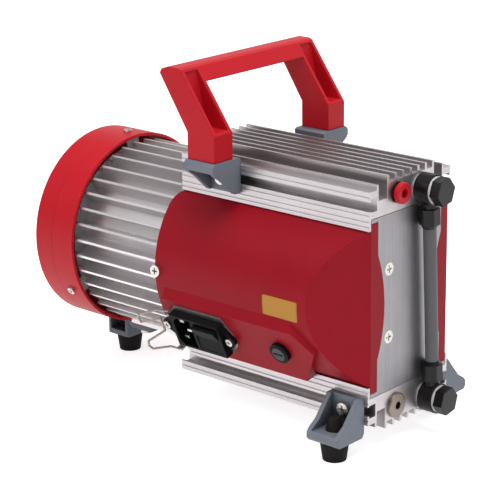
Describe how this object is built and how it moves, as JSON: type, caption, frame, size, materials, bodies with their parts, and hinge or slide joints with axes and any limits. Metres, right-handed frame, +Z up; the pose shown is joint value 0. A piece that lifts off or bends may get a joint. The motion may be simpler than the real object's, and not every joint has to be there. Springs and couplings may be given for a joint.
{
  "type": "diaphragm vacuum pump",
  "caption": "Diaphragm vacuum pump with finned heads above and below a crankcase, ribbed motor, curved side covers, lifting handle, mains inlet with cord bail and rubber feet.",
  "frame": {"origin": "on the floor under the middle of the bounding box", "axes": "+X along the motor shaft towards the front face with the fittings, +Z up, -Y towards the side with the mains inlet"},
  "size_m": [0.309, 0.151, 0.2474],
  "materials": {
    "head_aluminium": "extruded, satin",
    "plate_aluminium": "brushed along Y",
    "motor_aluminium": "extruded, satin",
    "cast_aluminium": "cast, machined faces",
    "red_cover": "moulded, semi-gloss",
    "red_handle": "moulded, semi-gloss",
    "bracket_grey": "powder coat, satin",
    "black_rubber": "matt",
    "black_moulding": "moulded, satin",
    "black_fitting": "machined, satin",
    "grey_tube": "extruded",
    "grey_cap": "moulded",
    "bright_steel": "nickel plated",
    "steel": "turned",
    "bail_wire": "drawn wire",
    "laminations": "stacked sheet",
    "copper": "lacquered wire",
    "membrane": "smooth",
    "fan_plastic": "moulded",
    "ptfe": "machined"
  },
  "bodies": {
    "pump_body": {"bail_carrier": "steel", "banjo_bolts": "black_fitting", "banjo_rings": "black_fitting", "banjo_washers": "ptfe", "bracket_screws": "bright_steel", "cover_screws": "bright_steel", "crankcase": "cast_aluminium", "fan_cover": "red_handle", "fan_cover_screws": "bright_steel", "feet": "black_rubber", "foot_brackets": "bracket_grey", "front_plate": "plate_aluminium", "front_plate_screws": "bright_steel", "front_shield": "cast_aluminium", "fuse_holder": "black_moulding", "gas_outlet": "bright_steel", "handle": "red_handle", "handle_brackets": "bracket_grey", "handle_screws": "bright_steel", "inlet_cartridge": "black_fitting", "inlet_frame": "black_moulding", "inlet_screws": "bright_steel", "left_cover": "red_cover", "lower_diaphragm": "membrane", "lower_head": "head_aluminium", "lower_plug": "bright_steel", "lower_valve_plate": "ptfe", "motor_housing": "motor_aluminium", "rear_bracket": "bracket_grey", "rear_bracket_screws": "bright_steel", "rear_shield": "cast_aluminium", "right_cover": "red_cover", "shaft_bearings": "steel", "slot_nuts": "steel", "socket_pins": "bright_steel", "stator_core": "laminations", "tube": "grey_tube", "tube_nuts": "black_fitting", "upper_diaphragm": "membrane", "upper_head": "head_aluminium", "upper_valve_plate": "ptfe", "valve_flaps": "membrane", "windings": "copper"},
    "rotor": {"shaft": "steel", "eccentric": "steel", "counterweight": "steel", "rotor_core": "laminations", "fan": "fan_plastic"},
    "upper_rod": {"upper_rod": "cast_aluminium", "upper_rod_bearing": "steel", "upper_clamp_disc": "ptfe"},
    "lower_rod": {"lower_rod": "cast_aluminium", "lower_rod_bearing": "steel", "lower_clamp_disc": "ptfe"},
    "switch_rocker": {"rocker": "black_moulding"},
    "cord_bail": {"bail": "bail_wire"},
    "fuse_cap": {"fuse_cap": "grey_cap", "fuse": "grey_tube"},
    "release_collar": {"inlet_collar": "red_handle"}
  },
  "joints": [
    {"name": "motor_spin", "type": "hinge", "parent": "pump_body", "child": "rotor", "pos_m": [0, 0.00401, 0.102], "axis": [1, 0, 0], "continuous": true},
    {"name": "upper_rod_swing", "type": "hinge", "parent": "rotor", "child": "upper_rod", "pos_m": [0.059, 0.00401, 0.105], "axis": [1, 0, 0], "continuous": true, "deforming": ["upper_diaphragm"]},
    {"name": "lower_rod_swing", "type": "hinge", "parent": "rotor", "child": "lower_rod", "pos_m": [0.045, 0.00401, 0.105], "axis": [1, 0, 0], "continuous": true, "deforming": ["lower_diaphragm"]},
    {"name": "switch_rock", "type": "hinge", "parent": "pump_body", "child": "switch_rocker", "pos_m": [0.003, -0.06143, 0.06332], "axis": [-1, 0, 0], "range_deg": [0, 18]},
    {"name": "bail_swing", "type": "hinge", "parent": "pump_body", "child": "cord_bail", "pos_m": [-0.02, -0.06077, 0.05979], "axis": [0, -0.4003, 0.9164], "range_deg": [0, 120]},
    {"name": "fuse_cap_turn", "type": "hinge", "parent": "pump_body", "child": "fuse_cap", "pos_m": [0.0749, -0.06132, 0.06457], "axis": [0, -0.9164, -0.4003], "range_deg": [0, 45]},
    {"name": "collar_press", "type": "slide", "parent": "pump_body", "child": "release_collar", "axis": [-1, 0, 0], "range_m": [0, 0.0015], "stiffness_N_per_m": 1500, "springref_m": -0.001}
  ],
  "couplings": [
    {"joint": "upper_rod_swing", "follows": "motor_spin", "ratio": -1},
    {"joint": "lower_rod_swing", "follows": "motor_spin", "ratio": -1}
  ]
}
